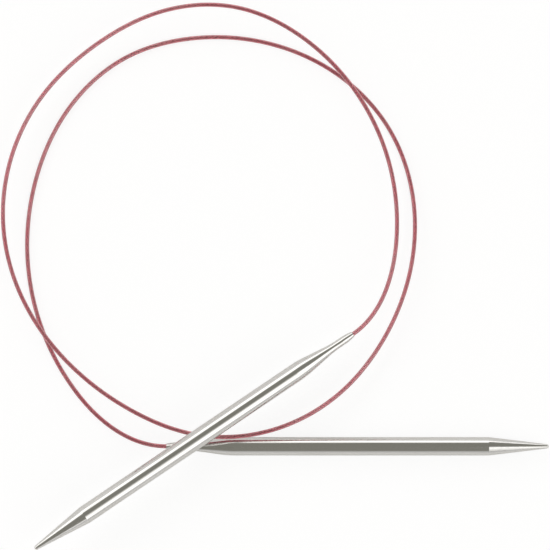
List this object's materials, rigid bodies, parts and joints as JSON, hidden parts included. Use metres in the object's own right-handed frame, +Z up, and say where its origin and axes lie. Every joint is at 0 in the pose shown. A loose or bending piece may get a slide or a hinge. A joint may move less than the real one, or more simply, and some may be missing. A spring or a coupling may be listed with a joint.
{
  "type": "circular knitting needle",
  "caption": "Circular knitting needle: two pointed steel needles joined by one long thin wire-cored cable, lying coiled with the needles crossed.",
  "frame": {"origin": "on the table, under the middle of the coiled object", "axes": "+X along the lower needle from its cable end to its point, +Z up from the table it lies on"},
  "size_m": [0.1783, 0.1775, 0.0131],
  "materials": {
    "needle_steel": "satin",
    "crimp_metal": "plain",
    "cable_jacket": "clear tinted",
    "wire_rope": "stranded"
  },
  "bodies": {
    "cable_16": {"cable_16_jacket": "cable_jacket", "cable_16_rope": "wire_rope"},
    "lower_needle": {"lower_needle_tube": "needle_steel", "lower_needle_point": "needle_steel", "lower_needle_crimp_sleeve": "crimp_metal", "lower_needle_end_jacket": "cable_jacket", "lower_needle_end_rope": "wire_rope", "lower_link_jacket": "cable_jacket", "lower_link_rope": "wire_rope"},
    "cable_15": {"cable_15_jacket": "cable_jacket", "cable_15_rope": "wire_rope"},
    "cable_14": {"cable_14_jacket": "cable_jacket", "cable_14_rope": "wire_rope"},
    "cable_13": {"cable_13_jacket": "cable_jacket", "cable_13_rope": "wire_rope"},
    "cable_12": {"cable_12_jacket": "cable_jacket", "cable_12_rope": "wire_rope"},
    "cable_11": {"cable_11_jacket": "cable_jacket", "cable_11_rope": "wire_rope"},
    "cable_10": {"cable_10_jacket": "cable_jacket", "cable_10_rope": "wire_rope"},
    "cable_09": {"cable_09_jacket": "cable_jacket", "cable_09_rope": "wire_rope"},
    "cable_08": {"cable_08_jacket": "cable_jacket", "cable_08_rope": "wire_rope"},
    "cable_07": {"cable_07_jacket": "cable_jacket", "cable_07_rope": "wire_rope"},
    "cable_06": {"cable_06_jacket": "cable_jacket", "cable_06_rope": "wire_rope"},
    "cable_05": {"cable_05_jacket": "cable_jacket", "cable_05_rope": "wire_rope"},
    "cable_04": {"cable_04_jacket": "cable_jacket", "cable_04_rope": "wire_rope"},
    "cable_03": {"cable_03_jacket": "cable_jacket", "cable_03_rope": "wire_rope"},
    "cable_02": {"cable_02_jacket": "cable_jacket", "cable_02_rope": "wire_rope"},
    "cable_01": {"cable_01_jacket": "cable_jacket", "cable_01_rope": "wire_rope"},
    "upper_link": {"upper_link_jacket": "cable_jacket", "upper_link_rope": "wire_rope"},
    "upper_needle": {"upper_needle_tube": "needle_steel", "upper_needle_point": "needle_steel", "upper_needle_crimp_sleeve": "crimp_metal", "upper_needle_end_jacket": "cable_jacket", "upper_needle_end_rope": "wire_rope"}
  },
  "joints": [
    {"name": "coil_open", "type": "hinge", "parent": "cable_16", "child": "cable_15", "pos_m": [-0.06591, -0.0366, 0.00132], "axis": [0.1011, -0.1412, 0.9848], "range_deg": [0, 10]},
    {"name": "coil_bend_14", "type": "hinge", "parent": "cable_15", "child": "cable_14", "pos_m": [-0.08077, 0.00866, 0.0008], "axis": [0.0011, -0.1736, 0.9848], "range_deg": [0, 10]},
    {"name": "coil_bend_13", "type": "hinge", "parent": "cable_14", "child": "cable_13", "pos_m": [-0.06718, 0.05429, 0.0008], "axis": [-0.1015, -0.1409, 0.9848], "range_deg": [0, 10]},
    {"name": "coil_bend_12", "type": "hinge", "parent": "cable_13", "child": "cable_12", "pos_m": [-0.02635, 0.07718, 0.0008], "axis": [-0.1729, -0.0165, 0.9848], "range_deg": [0, 10]},
    {"name": "coil_bend_11", "type": "hinge", "parent": "cable_12", "child": "cable_11", "pos_m": [0.0197, 0.06584, 0.0008], "axis": [-0.1436, 0.0976, 0.9848], "range_deg": [0, 10]},
    {"name": "coil_bend_10", "type": "hinge", "parent": "cable_11", "child": "cable_10", "pos_m": [0.04481, 0.02615, 0.00156], "axis": [-0.0271, 0.1715, 0.9848], "range_deg": [0, 10]},
    {"name": "coil_bend_09", "type": "hinge", "parent": "cable_10", "child": "cable_09", "pos_m": [0.03564, -0.02032, 0.00479], "axis": [0.0858, 0.1509, 0.9848], "range_deg": [0, 10]},
    {"name": "coil_bend_08", "type": "hinge", "parent": "cable_09", "child": "cable_08", "pos_m": [-0.00071, -0.05034, 0.00585], "axis": [0.1666, 0.0491, 0.9848], "range_deg": [0, 10]},
    {"name": "coil_bend_07", "type": "hinge", "parent": "cable_08", "child": "cable_07", "pos_m": [-0.04723, -0.04373, 0.00585], "axis": [0.1509, -0.0859, 0.9848], "range_deg": [0, 10]},
    {"name": "coil_bend_06", "type": "hinge", "parent": "cable_07", "child": "cable_06", "pos_m": [-0.08096, -0.00997, 0.00585], "axis": [0.0796, -0.1543, 0.9848], "range_deg": [0, 10]},
    {"name": "coil_bend_05", "type": "hinge", "parent": "cable_06", "child": "cable_05", "pos_m": [-0.08611, 0.03698, 0.00585], "axis": [-0.0466, -0.1673, 0.9848], "range_deg": [0, 10]},
    {"name": "coil_bend_04", "type": "hinge", "parent": "cable_05", "child": "cable_04", "pos_m": [-0.05792, 0.07507, 0.0061], "axis": [-0.1426, -0.0991, 0.9848], "range_deg": [0, 10]},
    {"name": "coil_bend_03", "type": "hinge", "parent": "cable_04", "child": "cable_03", "pos_m": [-0.01247, 0.08695, 0.0071], "axis": [-0.1696, 0.0372, 0.9848], "range_deg": [0, 10]},
    {"name": "coil_bend_02", "type": "hinge", "parent": "cable_03", "child": "cable_02", "pos_m": [0.02614, 0.05966, 0.00847], "axis": [-0.0989, 0.1427, 0.9848], "range_deg": [0, 10]},
    {"name": "coil_bend_01", "type": "hinge", "parent": "cable_02", "child": "cable_01", "pos_m": [0.03955, 0.01406, 0.00975], "axis": [0.0065, 0.1735, 0.9848], "range_deg": [0, 10]},
    {"name": "lower_needle_swing", "type": "hinge", "parent": "cable_16", "child": "lower_needle", "pos_m": [-0.04277, -0.05474, 0.00291], "axis": [0, 0, 1], "range_deg": [-40, 0]},
    {"name": "upper_needle_swing", "type": "hinge", "parent": "cable_01", "child": "upper_link", "pos_m": [0.03076, -0.0141, 0.01013], "axis": [0, 0, 1], "range_deg": [-30, 30]},
    {"name": "upper_needle_lift", "type": "hinge", "parent": "upper_link", "child": "upper_needle", "pos_m": [0.02649, -0.01829, 0.01015], "axis": [-0.5592, 0.829, 0], "range_deg": [0, 35]}
  ],
  "couplings": [
    {"joint": "coil_bend_14", "follows": "coil_open", "ratio": 1},
    {"joint": "coil_bend_13", "follows": "coil_open", "ratio": 1},
    {"joint": "coil_bend_12", "follows": "coil_open", "ratio": 1},
    {"joint": "coil_bend_11", "follows": "coil_open", "ratio": 1},
    {"joint": "coil_bend_10", "follows": "coil_open", "ratio": 1},
    {"joint": "coil_bend_09", "follows": "coil_open", "ratio": 1},
    {"joint": "coil_bend_08", "follows": "coil_open", "ratio": 1},
    {"joint": "coil_bend_07", "follows": "coil_open", "ratio": 1},
    {"joint": "coil_bend_06", "follows": "coil_open", "ratio": 1},
    {"joint": "coil_bend_05", "follows": "coil_open", "ratio": 1},
    {"joint": "coil_bend_04", "follows": "coil_open", "ratio": 1},
    {"joint": "coil_bend_03", "follows": "coil_open", "ratio": 1},
    {"joint": "coil_bend_02", "follows": "coil_open", "ratio": 1},
    {"joint": "coil_bend_01", "follows": "coil_open", "ratio": 1}
  ]
}
